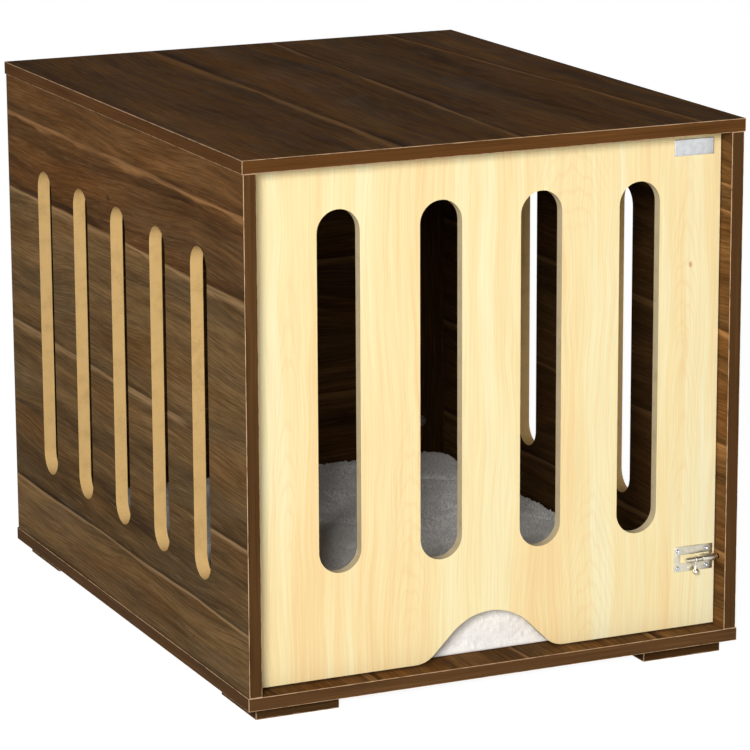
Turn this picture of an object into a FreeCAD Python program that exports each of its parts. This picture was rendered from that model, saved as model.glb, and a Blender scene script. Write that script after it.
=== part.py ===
import FreeCAD, Part
import math
import os

from FreeCAD import Vector

# Dog crate end table: a walnut-look cabinet with a slotted maple-look door, in millimetres.
# +X is to the right seen from the front, +Y towards the back, +Z up.
# The origin is on the floor, under the middle of the table.

# ---------------------------------------------------------------- driving sizes

# carcass boards
slab_width = 610.0          # top and base boards, left to right
slab_depth = 760.0          # top and base boards, front to back
side_height = 580.0         # clear height between the base board and the top board
board = 15.0                # thickness of the top, base and side boards
side_overhang = 1.5         # top board's edge beyond a side panel's outer face
end_overhang = 0.8          # top board's edge beyond a side panel's front and back edges
band = 1.0                  # thickness of the edge bands
band_ease = 0.4             # rounding of a band's outer corners

# slots in the side panels
side_slot_count = 5
side_slot_pitch = 124.0
side_slot_width = 48.0
side_slot_margin = 101.0    # from a slot's end to the panel's upper or lower edge

# boards at the back
back_board = 12.0           # thickness of the two uprights
upright_width = 80.0
back_panel_thickness = 5.0
groove_depth = 7.0          # groove in each upright that holds the back panel
groove_play = 0.2           # free space at each face of the panel in its groove
panel_play = 0.5            # free space at the panel's side and upper edges

# feet
foot_size = 100.0
foot_height = 15.0
foot_inset = 14.0           # from the base board's edges
foot_corner = 1.0           # chamfer of a foot's upright corners

# door
door_board = 12.0
door_recess = 23.5          # door's front face behind the top board's front edge
door_gap_right = 1.3
door_gap_top = 2.5
door_gap_bottom = 2.5
door_slot_count = 4
door_slot_pitch = 122.8
door_slot_width = 51.0
door_slot_margin_top = 48.5     # from a slot's upper end to the door's top edge
door_slot_margin_bottom = 119.5
door_ease = 0.8             # rounding of the door bands' front corners

# bell-shaped arch in the door's lower edge
arch_height = 52.0
arch_top_radius = 67.0
arch_foot_radius = 30.0
arch_flank_angle = 45.0     # degrees from level

# butt hinges
hinge_height = 50.0
hinge_knuckles = 5
leaf_width = 14.0
leaf_thickness = 1.0
leaf_play = 0.2             # between the two leaves when the door is shut
knuckle_radius = 2.5
knuckle_play = 0.3          # round a knuckle and between neighbouring knuckles
hinge_pin_radius = 1.3
hinge_pin_play = 0.05
pin_head_radius = 2.0
pin_head_height = 0.8
upper_hinge_drop = 100.0    # middle of the upper hinge below the door's top edge
lower_hinge_rise = 55.0     # middle of the lower hinge above the door's lower edge

# barrel bolt on the door
bolt_plate_length = 50.0
bolt_plate_height = 30.0
bolt_plate_thickness = 1.5
bolt_plate_margin = 3.4     # from the door's right edge
bolt_rise = 81.0            # rod's axis above the door's lower edge
bolt_window_height = 11.0
bolt_window_margin = 8.0    # plate left of the window
bolt_barrel_length = 16.3
bolt_barrel_radius = 4.2
rod_radius = 2.5
rod_play = 0.06             # between the rod and the barrel's bore
rod_height = 6.0            # rod's axis in front of the door's face
rod_tail = 13.0             # rod behind the middle of the knob's eye
rod_tip_gap = 0.4           # rod's tip short of the right side panel
rod_tip_chamfer = 0.8
strike_play = 0.7           # round the rod in its hole in the right side panel
strike_depth = 10.0
bolt_throw = 6.0            # way the rod moves into the side panel
knob_stem_gap = 0.4         # between the stem and the barrel when the bolt is thrown
knob_eye_length = 4.3
knob_eye_play = 0.05        # round the rod's neck
knob_end_play = 0.1         # at each end of the eye
rod_neck_radius = 1.5
knob_stem_radius = 1.6
knob_drop = 15.0            # ball's centre below the rod's axis
knob_ball_radius = 3.6

# bare plate near the door's upper right corner
nameplate_length = 50.0
nameplate_height = 19.0
nameplate_thickness = 1.5
nameplate_bevel = 0.9
nameplate_side_margin = 10.0
nameplate_top_margin = 5.0

# cam locks and dowels
cam_radius = 7.5
cam_play = 0.05
cam_floor = 2.5             # board left under a cam nut
cam_reach = 34.0            # cam's centre from the joint
cam_cross_length = 9.0      # cross recess in the nut's face
cam_cross_width = 2.0
cam_cross_depth = 1.5
cam_pocket_play = 0.3       # round the bolt's head inside the nut
cam_y = 280.0               # side panels' cams, from the middle
cam_z = 80.0                # uprights' cams, from the base and top boards
bolt_thread_radius = 3.0
bolt_thread_length = 11.0
bolt_shank_radius = 2.5
bolt_neck_radius = 2.0
bolt_neck_length = 4.0
bolt_head_radius = 3.5
bolt_head_length = 3.0
bolt_channel_radius = 4.0
dowel_radius = 4.0
slim_dowel_radius = 3.0     # in the uprights
dowel_length = 30.0
dowel_share = 10.0          # length that enters the board's face
dowel_end_play = 0.5
dowel_chamfer = 0.8
dowel_y = 335.0             # side panels' outer dowels, from the middle
upright_dowel_z = 150.0     # uprights' dowels, from the base and top boards
upright_dowel_inset = 55.0  # uprights' end dowels, from the side panel

# screws
screw_play = 0.03           # round a screw in its pilot hole
hinge_screw_head = 2.4
hinge_screw_shank = 1.4
hinge_screw_length = 12.0
hinge_screw_spread = 30.0   # between the two screws of a leaf
foot_screw_head = 4.0
foot_screw_shank = 2.0
foot_screw_bite = 9.5       # length in the base board
foot_screw_sink = 1.5       # head below the foot's underside
foot_screw_spread = 50.0
plate_screw_head = 2.4
plate_screw_head_height = 1.2
plate_screw_shank = 1.2
plate_screw_length = 9.0
plate_screw_spread_x = 37.0
plate_screw_spread_z = 20.4
plate_screw_left = 4.5      # left screws from the plate's left end
cross_length = 2.6
cross_width = 0.6
cross_depth = 0.7

# door stop under the top board
stop_length = 40.0
stop_depth = 15.0
stop_height = 18.0
stop_gap = 0.3              # from the back of the door
stop_side_margin = 20.0     # from the right side panel
stop_screw_bite = 9.0       # length in the top board

# cushion
cushion_height = 54.0
cushion_side_gap = 20.5     # from each side panel
cushion_front_gap = 9.0     # from the back of the door
cushion_back_gap = 42.7     # from the uprights
cushion_corner = 34.0
cushion_draw = 9.0          # how far each side pulls in between the corners
# rings from the floor to the crown: share of the height, inset from the seam, share of the draw
cushion_rings = ((0.0, 13.0, 0.6), (0.12, 4.5, 0.8), (0.30, 0.8, 0.95), (0.45, 0.0, 1.0), (0.62, 1.5, 0.95),
                 (0.78, 8.0, 0.8), (0.88, 22.0, 0.55), (0.94, 50.0, 0.3), (0.98, 105.0, 0.12),
                 (1.0, 175.0, 0.04))

# ---------------------------------------------------------------- places that follow

slab_x = slab_width / 2
slab_y = slab_depth / 2
base_bottom = foot_height
base_top = base_bottom + board
top_bottom = base_top + side_height
side_outer = slab_x - side_overhang
side_inner = side_outer - board
side_front = -slab_y + end_overhang
side_back = slab_y - end_overhang
side_middle = side_inner + board / 2

upright_front = side_back - back_board
upright_middle = upright_front + back_board / 2
upright_inner = side_inner - upright_width

door_front = -slab_y + door_recess
door_back = door_front + door_board
door_middle = door_front + door_board / 2
door_left = -side_inner + 2 * leaf_thickness + leaf_play
door_right = side_inner - door_gap_right
door_bottom = base_top + door_gap_bottom
door_top = top_bottom - door_gap_top

hinge_x = -side_inner + knuckle_radius + knuckle_play
hinge_y = door_front - knuckle_radius - knuckle_play
hinge_middles = {"upper": door_top - upper_hinge_drop, "lower": door_bottom + lower_hinge_rise}

rod_y = door_front - rod_height
rod_z = door_bottom + bolt_rise
rod_tip = side_inner - rod_tip_gap
bolt_plate_right = door_right - bolt_plate_margin
bolt_plate_left = bolt_plate_right - bolt_plate_length
barrel_left = bolt_plate_right - bolt_barrel_length
knob_x = barrel_left - bolt_throw - knob_stem_gap - knob_stem_radius
rod_back = knob_x - rod_tail
plate_screw_xs = (bolt_plate_left + plate_screw_left,
                  bolt_plate_left + plate_screw_left + plate_screw_spread_x)
plate_screw_zs = (rod_z - plate_screw_spread_z / 2, rod_z + plate_screw_spread_z / 2)

foot_screw_length = foot_height - foot_screw_sink + foot_screw_bite
stop_screw_length = stop_height + stop_screw_bite

cushion_width = 2 * (side_inner - cushion_side_gap)
cushion_front = door_back + cushion_front_gap
cushion_depth = upright_front - cushion_back_gap - cushion_front

LEFT, RIGHT = Vector(-1, 0, 0), Vector(1, 0, 0)
FORWARD, BACKWARD = Vector(0, -1, 0), Vector(0, 1, 0)
DOWN, UP = Vector(0, 0, -1), Vector(0, 0, 1)


# ---------------------------------------------------------------- small helpers

def block(x_low, x_high, y_low, y_high, z_low, z_high):
    """A box between its low and high corners."""
    corner = Vector(x_low, y_low, z_low)
    return Part.makeBox(x_high - x_low, y_high - y_low, z_high - z_low, corner)


def bar(start, direction, radius, length):
    """A round bar from a point along a direction."""
    return Part.makeCylinder(radius, length, start, direction)


def joined(pieces):
    """Several overlapping shapes as one clean solid."""
    return pieces[0].multiFuse(pieces[1:]).removeSplitter().Solids[0]


def less(shape, cuts):
    """A solid with holes and recesses cut from it."""
    return shape.cut(Part.makeCompound(cuts)).Solids[0]


def eased(shape, radius, wanted):
    """A solid with the wanted edges rounded."""
    return shape.makeFillet(radius, [edge for edge in shape.Edges if wanted(edge)]).Solids[0]


def bevelled(shape, size, wanted):
    """A solid with the wanted edges chamfered."""
    return shape.makeChamfer(size, [edge for edge in shape.Edges if wanted(edge)]).Solids[0]


def same(first, second):
    return abs(first - second) < 1e-4


def spread(count, pitch):
    """Places of a centred row."""
    return [(index - (count - 1) / 2) * pitch for index in range(count)]


def slot_cutter(place, middle, low, high, radius, run):
    """A round-ended slot; place maps (across, up) to a point, and run is the cut's length and way."""
    across_low, across_high = middle - radius, middle + radius
    bend_low, bend_high = low + radius, high - radius
    edges = [
        Part.LineSegment(place(across_low, bend_low), place(across_low, bend_high)).toShape(),
        Part.Arc(place(across_low, bend_high), place(middle, high), place(across_high, bend_high)).toShape(),
        Part.LineSegment(place(across_high, bend_high), place(across_high, bend_low)).toShape(),
        Part.Arc(place(across_high, bend_low), place(middle, low), place(across_low, bend_low)).toShape(),
    ]
    return Part.Face(Part.Wire(edges)).extrude(run)


# ---------------------------------------------------------------- fasteners

def sunk_screw(face, into, head_radius, shank_radius, length, head_depth):
    """A countersunk screw whose flat head lies at the face point and which points into the board."""
    head = Part.makeCone(head_radius, shank_radius, head_depth, face, into)
    return joined([head, bar(face, into, shank_radius, length)])


def sunk_hole(face, into, head_radius, shank_radius, length, head_depth):
    """The room a countersunk screw needs, with the play round it."""
    return sunk_screw(face, into, head_radius + screw_play, shank_radius + screw_play,
                      length + screw_play, head_depth)


def round_head_screw(face, into, head_radius, head_height, shank_radius, length):
    """A domed screw with a cross recess; its head stands on the face point."""
    dome_radius = (head_radius ** 2 + head_height ** 2) / (2 * head_height)
    middle = face + into * (dome_radius - head_height)
    dome = Part.makeSphere(dome_radius, middle)
    dome = dome.common(bar(face - into * head_height, into, head_radius, head_height))
    top = face - into * head_height
    arms = [block(-cross_length / 2, cross_length / 2, 0, cross_depth, -cross_width / 2, cross_width / 2),
            block(-cross_width / 2, cross_width / 2, 0, cross_depth, -cross_length / 2, cross_length / 2)]
    for arm in arms:
        arm.translate(top)
    return less(joined([dome, bar(face, into, shank_radius, length)]), arms)


def dowel(joint, into_face, radius):
    """A dowel: its short share goes into the board's face, the rest into the other board's edge."""
    start = joint + into_face * dowel_share
    return bevelled(bar(start, into_face * -1, radius, dowel_length), dowel_chamfer,
                    lambda edge: same(edge.BoundBox.DiagonalLength, 2 * radius * math.sqrt(2)))


def dowel_hole(joint, into_face, radius):
    """The hole through the joint that a dowel fills, with a little room at both ends."""
    start = joint + into_face * (dowel_share + dowel_end_play)
    return bar(start, into_face * -1, radius + screw_play, dowel_length + 2 * dowel_end_play)


class CamLock:
    """A cam nut in one board's face, drawn onto a bolt screwed into the other board's face."""

    def __init__(self, joint, into_face, out_of_board, thickness):
        # joint: bolt's axis where the boards meet; out_of_board: normal of the face that shows the nut
        self.joint = joint
        self.into_face = into_face
        self.out = out_of_board
        self.depth = thickness - cam_floor
        self.mouth = joint - into_face * cam_reach + out_of_board * (thickness / 2)
        self.half = thickness / 2

    def nut(self):
        body = bar(self.mouth, self.out * -1, cam_radius - cam_play, self.depth - cam_play)
        axis = self.mouth - self.out * self.half
        pocket = bar(axis - self.into_face * (bolt_head_length + cam_pocket_play), self.into_face,
                     bolt_head_radius + cam_pocket_play, cam_reach)
        side = self.into_face.cross(self.out)
        arms = []
        for along, across in ((self.into_face, side), (side, self.into_face)):
            corner = self.mouth - along * (cam_cross_length / 2) - across * (cam_cross_width / 2)
            length, width = along * cam_cross_length, across * cam_cross_width
            face = Part.Face(Part.makePolygon([corner, corner + length, corner + length + width,
                                               corner + width, corner]))
            arms.append(face.extrude(self.out * -cam_cross_depth))
        return less(body, [pocket] + arms)

    def bolt(self):
        thread = bar(self.joint + self.into_face * bolt_thread_length, self.into_face * -1,
                     bolt_thread_radius, bolt_thread_length)
        back = self.into_face * -1
        shank_length = cam_reach - bolt_neck_length
        shank = bar(self.joint, back, bolt_shank_radius, shank_length)
        neck = bar(self.joint + back * shank_length, back, bolt_neck_radius, bolt_neck_length)
        head = bar(self.joint + back * cam_reach, back, bolt_head_radius, bolt_head_length)
        return joined([thread, shank, neck, head])

    def face_hole(self):
        """Pilot hole in the board that takes the bolt's thread."""
        return bar(self.joint, self.into_face, bolt_thread_radius + screw_play,
                   bolt_thread_length + dowel_end_play)

    def edge_hole(self):
        """Nut's bore and bolt's channel in the board that carries the nut."""
        bore = bar(self.mouth, self.out * -1, cam_radius, self.depth)
        channel = bar(self.joint, self.into_face * -1, bolt_channel_radius, cam_reach)
        return [bore, channel]


def inward(side):
    """Normal of a side panel's inner face; side is -1 for the left panel and 1 for the right."""
    return Vector(-side, 0, 0)


side_locks = []
side_dowels = []
upright_locks = []
upright_dowels = []
end_dowels = []
for side in (-1, 1):
    for height, into in ((top_bottom, UP), (base_top, DOWN)):
        for y in (-cam_y, cam_y):
            side_locks.append((side, CamLock(Vector(side * side_middle, y, height), into, inward(side), board)))
        for y in (-dowel_y, 0.0, dowel_y):
            side_dowels.append((side, Vector(side * side_middle, y, height), into))
        end_dowels.append((side, Vector(side * (side_inner - upright_dowel_inset), upright_middle, height), into))
    for z in (base_top + cam_z, top_bottom - cam_z):
        upright_locks.append((side, CamLock(Vector(side * side_inner, upright_middle, z),
                                            inward(side) * -1, FORWARD, back_board)))
    for z in (base_top + upright_dowel_z, top_bottom - upright_dowel_z):
        upright_dowels.append((side, Vector(side * side_inner, upright_middle, z), inward(side) * -1))


# ---------------------------------------------------------------- carcass boards

def slab_core(z_low, face_z, into):
    """Top or base board inside its edge bands, with the holes that its joints need in one face."""
    core = block(-slab_x + band, slab_x - band, -slab_y + band, slab_y - band, z_low, z_low + board)
    cuts = [lock.face_hole() for side, lock in side_locks if same(lock.joint.z, face_z)]
    cuts += [dowel_hole(joint, into, dowel_radius) for side, joint, way in side_dowels if same(joint.z, face_z)]
    cuts += [dowel_hole(joint, into, slim_dowel_radius) for side, joint, way in end_dowels
             if same(joint.z, face_z)]
    return less(core, cuts)


def slab_bands(z_low):
    """Four strips round a slab's edges: front and back ones run the whole width."""
    z_high = z_low + board
    strips = []
    for y_low in (-slab_y, slab_y - band):
        outer = y_low if y_low < 0 else slab_y
        strip = block(-slab_x, slab_x, y_low, y_low + band, z_low, z_high)
        strips.append(eased(strip, band_ease, lambda edge: same(edge.CenterOfMass.y, outer)))
    for x_low in (-slab_x, slab_x - band):
        outer = x_low if x_low < 0 else slab_x
        strip = block(x_low, x_low + band, -slab_y + band, slab_y - band, z_low, z_high)
        strips.append(eased(strip, band_ease, lambda edge: same(edge.CenterOfMass.x, outer)
                            and same(edge.CenterOfMass.y, 0)))
    return Part.makeCompound(strips)


def side_panel(side):
    """A side panel's core between its front and back bands, with its slots and joint holes."""
    faces = sorted((side * side_inner, side * side_outer))
    core = block(faces[0], faces[1], side_front + band, side_back - band, base_top, top_bottom)
    cuts = [slot_cutter(lambda across, up: Vector(faces[0], across, up), y, base_top + side_slot_margin,
                        top_bottom - side_slot_margin, side_slot_width / 2, Vector(board, 0, 0))
            for y in spread(side_slot_count, side_slot_pitch)]
    for lock_side, lock in side_locks:
        if lock_side == side:
            cuts += lock.edge_hole()
    cuts += [dowel_hole(joint, into, dowel_radius) for s, joint, into in side_dowels if s == side]
    cuts += [lock.face_hole() for s, lock in upright_locks if s == side]
    cuts += [dowel_hole(joint, into, slim_dowel_radius) for s, joint, into in upright_dowels if s == side]
    if side < 0:
        cuts += [cut for cut in hinge_screw_holes()["frame"]]
    else:
        cuts.append(bar(Vector(side_inner, rod_y, rod_z), RIGHT, rod_radius + strike_play, strike_depth))
    return less(core, cuts)


def side_bands(side):
    """Strips on a side panel's front and back edges."""
    faces = sorted((side * side_inner, side * side_outer))
    strips = []
    for y_low in (side_front, side_back - band):
        outer = y_low if y_low < 0 else side_back
        strip = block(faces[0], faces[1], y_low, y_low + band, base_top, top_bottom)
        strips.append(eased(strip, band_ease, lambda edge: same(edge.CenterOfMass.y, outer)
                            and same(edge.CenterOfMass.z, (base_top + top_bottom) / 2)))
    return Part.makeCompound(strips)


def upright(side):
    """Board in a back corner, grooved for the back panel."""
    faces = sorted((side * upright_inner, side * side_inner))
    core = block(faces[0], faces[1], upright_front, side_back, base_top, top_bottom)
    half = back_panel_thickness / 2 + groove_play
    groove = sorted((side * upright_inner, side * (upright_inner + groove_depth)))
    cuts = [block(groove[0], groove[1], upright_middle - half, upright_middle + half, base_top, top_bottom)]
    for s, lock in upright_locks:
        if s == side:
            cuts += lock.edge_hole()
    cuts += [dowel_hole(joint, into, slim_dowel_radius) for s, joint, into in upright_dowels + end_dowels
             if s == side]
    return less(core, cuts)


def back_panel():
    """Thin panel that stands on the base board with its sides in the uprights' grooves."""
    reach = upright_inner + groove_depth - panel_play
    half = back_panel_thickness / 2
    return block(-reach, reach, upright_middle - half, upright_middle + half,
                 base_top, top_bottom - panel_play)


# ---------------------------------------------------------------- feet

def foot_middle(side, end):
    """Middle of a foot on the floor; side and end are -1 or 1 (right and back are 1)."""
    reach = foot_inset + foot_size / 2
    return Vector(side * (slab_x - reach), end * (slab_y - reach), 0)


def foot_screw_places(side, end):
    """Two screws on the foot's diagonal."""
    middle = foot_middle(side, end)
    half = foot_screw_spread / 2
    return [middle + Vector(step * half * side, step * half * end, foot_screw_sink) for step in (-1, 1)]


def foot(side, end):
    middle = foot_middle(side, end)
    half = foot_size / 2
    pad = block(middle.x - half, middle.x + half, middle.y - half, middle.y + half, 0, foot_height)
    pad = bevelled(pad, foot_corner, lambda edge: same(edge.CenterOfMass.z, foot_height / 2))
    cuts = []
    for place in foot_screw_places(side, end):
        cuts.append(bar(place - UP * foot_screw_sink, UP, foot_screw_head + screw_play, foot_screw_sink))
        cuts.append(foot_screw_hole(place))
    return less(pad, cuts)


def foot_screw_hole(place):
    return sunk_hole(place, UP, foot_screw_head, foot_screw_shank, foot_screw_length,
                     foot_screw_head - foot_screw_shank)


foot_corners = {"front_left": (-1, -1), "front_right": (1, -1), "back_left": (-1, 1), "back_right": (1, 1)}
foot_screws = [place for corner in foot_corners.values() for place in foot_screw_places(*corner)]


# ---------------------------------------------------------------- door

def door_outline():
    """Door's edge inside its bands, with the bell-shaped arch in the lower edge."""
    left, right, top = door_left + band, door_right - band, door_top - band
    slope = math.radians(arch_flank_angle)
    crown = door_bottom + arch_height
    shoulder_x = arch_top_radius * math.sin(slope)
    shoulder_z = crown - arch_top_radius * (1 - math.cos(slope))
    toe_z = door_bottom + arch_foot_radius * (1 - math.cos(slope))
    toe_x = shoulder_x + (shoulder_z - toe_z) / math.tan(slope)
    heel_x = toe_x + arch_foot_radius * math.sin(slope)
    half_turn = slope / 2
    bend_x = heel_x - arch_foot_radius * math.sin(half_turn)
    bend_z = door_bottom + arch_foot_radius * (1 - math.cos(half_turn))

    def at(x, z):
        return Vector(x, door_front, z)

    edges = [
        Part.LineSegment(at(left, door_bottom), at(-heel_x, door_bottom)),
        Part.Arc(at(-heel_x, door_bottom), at(-bend_x, bend_z), at(-toe_x, toe_z)),
        Part.LineSegment(at(-toe_x, toe_z), at(-shoulder_x, shoulder_z)),
        Part.Arc(at(-shoulder_x, shoulder_z), at(0, crown), at(shoulder_x, shoulder_z)),
        Part.LineSegment(at(shoulder_x, shoulder_z), at(toe_x, toe_z)),
        Part.Arc(at(toe_x, toe_z), at(bend_x, bend_z), at(heel_x, door_bottom)),
        Part.LineSegment(at(heel_x, door_bottom), at(right, door_bottom)),
        Part.LineSegment(at(right, door_bottom), at(right, top)),
        Part.LineSegment(at(right, top), at(left, top)),
        Part.LineSegment(at(left, top), at(left, door_bottom)),
    ]
    return Part.Face(Part.Wire([edge.toShape() for edge in edges]))


def door():
    core = door_outline().extrude(Vector(0, door_board, 0))
    cuts = [slot_cutter(lambda across, up: Vector(across, door_front, up), x,
                        door_bottom + door_slot_margin_bottom, door_top - door_slot_margin_top,
                        door_slot_width / 2, Vector(0, door_board, 0))
            for x in spread(door_slot_count, door_slot_pitch)]
    cuts += hinge_screw_holes()["door"]
    cuts += [bar(place, BACKWARD, plate_screw_shank + screw_play, plate_screw_length)
             for place in plate_screw_places(door_front)]
    return less(core, cuts)


def door_bands():
    """Strips on the door's left, right and upper edges."""
    middle_z = (door_bottom + door_top - band) / 2
    strips = []
    for x_low in (door_left, door_right - band):
        outer = door_left if x_low == door_left else door_right
        strip = block(x_low, x_low + band, door_front, door_back, door_bottom, door_top - band)
        strips.append(eased(strip, door_ease,
                            lambda edge: same(edge.CenterOfMass.x, outer)
                            and same(edge.CenterOfMass.y, door_front) and same(edge.CenterOfMass.z, middle_z)))
    strips[0] = less(strips[0], hinge_screw_holes()["door"])
    strip = block(door_left, door_right, door_front, door_back, door_top - band, door_top)
    strips.append(eased(strip, door_ease, lambda edge: same(edge.CenterOfMass.z, door_top)
                        and same(edge.CenterOfMass.y, door_front)))
    return Part.makeCompound(strips)


def nameplate():
    right = door_right - nameplate_side_margin
    top = door_top - nameplate_top_margin
    face = door_front - nameplate_thickness
    plate = block(right - nameplate_length, right, face, door_front, top - nameplate_height, top)
    return bevelled(plate, nameplate_bevel, lambda edge: same(edge.CenterOfMass.y, face))


# ---------------------------------------------------------------- hinges

def knuckle_spans(middle):
    """Low and high ends of each knuckle, from the bottom; even ones are the frame leaf's."""
    pitch = hinge_height / hinge_knuckles
    low = middle - hinge_height / 2
    return [(low + index * pitch + knuckle_play / 2, low + (index + 1) * pitch - knuckle_play / 2)
            for index in range(hinge_knuckles)]


def hinge_leaf(middle, plate_low_x, own, screw_into):
    """A leaf with its knuckles; own is 0 for the frame leaf and 1 for the door leaf."""
    low, high = middle - hinge_height / 2, middle + hinge_height / 2
    plate = block(plate_low_x, plate_low_x + leaf_thickness, hinge_y, hinge_y + leaf_width, low, high)
    spans = knuckle_spans(middle)
    room = [bar(Vector(hinge_x, hinge_y, span[0] - knuckle_play), UP, knuckle_radius + knuckle_play,
                span[1] - span[0] + 2 * knuckle_play)
            for index, span in enumerate(spans) if index % 2 != own]
    rolls = [bar(Vector(hinge_x, hinge_y, span[0]), UP, knuckle_radius, span[1] - span[0])
             for index, span in enumerate(spans) if index % 2 == own]
    leaf = joined([less(plate, room)] + rolls)
    bore = bar(Vector(hinge_x, hinge_y, low), UP, hinge_pin_radius + hinge_pin_play, hinge_height)
    return less(leaf, [bore] + screw_into)


def hinge_pin(middle):
    low, high = middle - hinge_height / 2, middle + hinge_height / 2
    shaft = bar(Vector(hinge_x, hinge_y, low), UP, hinge_pin_radius, hinge_height)
    heads = [bar(Vector(hinge_x, hinge_y, z), UP, pin_head_radius, pin_head_height)
             for z in (low - pin_head_height, high)]
    return joined([shaft] + heads)


def hinge_screw_faces():
    """Head places of the hinge screws on each side of each hinge."""
    places = {"frame": [], "door": []}
    for middle in hinge_middles.values():
        for step in (-hinge_screw_spread / 2, hinge_screw_spread / 2):
            places["frame"].append(Vector(-side_inner + leaf_thickness, door_middle, middle + step))
            places["door"].append(Vector(door_left - leaf_thickness, door_middle, middle + step))
    return places


hinge_screw_ways = {"frame": LEFT, "door": RIGHT}


def hinge_screw_holes():
    return {name: [sunk_hole(place, hinge_screw_ways[name], hinge_screw_head, hinge_screw_shank,
                             hinge_screw_length, leaf_thickness) for place in places]
            for name, places in hinge_screw_faces().items()}


def hinge_screws(name):
    way = hinge_screw_ways[name]
    return Part.makeCompound([sunk_screw(place, way, hinge_screw_head, hinge_screw_shank,
                                         hinge_screw_length, leaf_thickness)
                              for place in hinge_screw_faces()[name]])


# ---------------------------------------------------------------- barrel bolt

def plate_screw_places(y):
    return [Vector(x, y, z) for x in plate_screw_xs for z in plate_screw_zs]


def bolt_plate():
    """Flat plate with a window, and a round-backed barrel at its right end that guides the rod."""
    low, high = rod_z - bolt_plate_height / 2, rod_z + bolt_plate_height / 2
    face = door_front - bolt_plate_thickness
    plate = block(bolt_plate_left, bolt_plate_right, face, door_front, low, high)
    window = block(bolt_plate_left + bolt_window_margin, barrel_left, face, door_front,
                   rod_z - bolt_window_height / 2, rod_z + bolt_window_height / 2)
    barrel = joined([
        block(barrel_left, bolt_plate_right, rod_y, door_front,
              rod_z - bolt_barrel_radius, rod_z + bolt_barrel_radius),
        bar(Vector(barrel_left, rod_y, rod_z), RIGHT, bolt_barrel_radius, bolt_barrel_length)])
    bore = bar(Vector(barrel_left, rod_y, rod_z), RIGHT, rod_radius + rod_play, bolt_barrel_length)
    holes = [bar(place, BACKWARD, plate_screw_shank + screw_play, bolt_plate_thickness)
             for place in plate_screw_places(face)]
    return less(joined([less(plate, [window]), barrel]), [bore] + holes)


def bolt_rod():
    """Sliding rod with a narrow neck for the knob's eye."""
    neck_half = knob_eye_length / 2 + knob_end_play
    rod = bar(Vector(rod_back, rod_y, rod_z), RIGHT, rod_radius, rod_tip - rod_back)
    rod = bevelled(rod, rod_tip_chamfer, lambda edge: same(edge.BoundBox.XLength, 0))
    sleeve = bar(Vector(knob_x - neck_half, rod_y, rod_z), RIGHT, 2 * rod_radius, 2 * neck_half)
    core = bar(Vector(knob_x - neck_half, rod_y, rod_z), RIGHT, rod_neck_radius, 2 * neck_half)
    return less(rod, [sleeve.cut(core)])


def bolt_knob():
    """Eye round the rod's neck, with a stem that hangs down to a ball."""
    eye_start = Vector(knob_x - knob_eye_length / 2, rod_y, rod_z)
    eye = bar(eye_start, RIGHT, rod_radius, knob_eye_length)
    stem = bar(Vector(knob_x, rod_y, rod_z), DOWN, knob_stem_radius, knob_drop)
    ball = Part.makeSphere(knob_ball_radius, Vector(knob_x, rod_y, rod_z - knob_drop))
    bore = bar(eye_start, RIGHT, rod_neck_radius + knob_eye_play, knob_eye_length)
    return less(joined([eye, stem, ball]), [bore])


def bolt_screws():
    face = door_front - bolt_plate_thickness
    return Part.makeCompound([round_head_screw(place, BACKWARD, plate_screw_head, plate_screw_head_height,
                                               plate_screw_shank, plate_screw_length)
                              for place in plate_screw_places(face)])


# ---------------------------------------------------------------- door stop

stop_right = side_inner - stop_side_margin
stop_screw_place = Vector(stop_right - stop_length / 2, door_back + stop_gap + stop_depth / 2,
                          top_bottom - stop_height)


def door_stop():
    y_low = door_back + stop_gap
    stop = block(stop_right - stop_length, stop_right, y_low, y_low + stop_depth,
                 top_bottom - stop_height, top_bottom)
    return less(stop, [stop_screw_hole()])


def stop_screw_hole():
    return sunk_hole(stop_screw_place, UP, foot_screw_head, foot_screw_shank, stop_screw_length,
                     foot_screw_head - foot_screw_shank)


def stop_screw():
    return sunk_screw(stop_screw_place, UP, foot_screw_head, foot_screw_shank, stop_screw_length,
                      foot_screw_head - foot_screw_shank)


# ---------------------------------------------------------------- cushion

def cushion_section(inset, draw, z):
    """Level outline of the cushion: rounded corners with sides that bow inwards between them."""
    half_x, half_y = cushion_width / 2 - inset, cushion_depth / 2 - inset
    middle_y = cushion_front + cushion_depth / 2
    corner = cushion_corner
    diagonal = corner * (1 - math.sqrt(0.5))

    def at(x, y):
        return Vector(x, middle_y + y, z)

    edges = []
    for turn_x, turn_y in ((1, -1), (1, 1), (-1, 1), (-1, -1)):
        along_x = at(turn_x * (half_x - corner), turn_y * half_y)
        along_y = at(turn_x * half_x, turn_y * (half_y - corner))
        bend = at(turn_x * (half_x - diagonal), turn_y * (half_y - diagonal))
        start, end = (along_x, along_y) if turn_x * turn_y < 0 else (along_y, along_x)
        edges.append((start, bend, end))
    shapes = []
    for index, (start, bend, end) in enumerate(edges):
        shapes.append(Part.Arc(start, bend, end).toShape())
        next_start = edges[(index + 1) % 4][0]
        half_way = (end + next_start) * 0.5
        pull = at(0, 0) - half_way
        pull.normalize()
        shapes.append(Part.Arc(end, half_way + pull * draw, next_start).toShape())
    return Part.Wire(shapes)


def cushion():
    """Plush pad: flat below, fullest at its seam, rising to a low crown."""
    sections = [cushion_section(inset, share * cushion_draw, base_top + rise * cushion_height)
                for rise, inset, share in cushion_rings]
    return Part.makeLoft(sections, True, True).Solids[0]


# ---------------------------------------------------------------- all pieces

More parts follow.
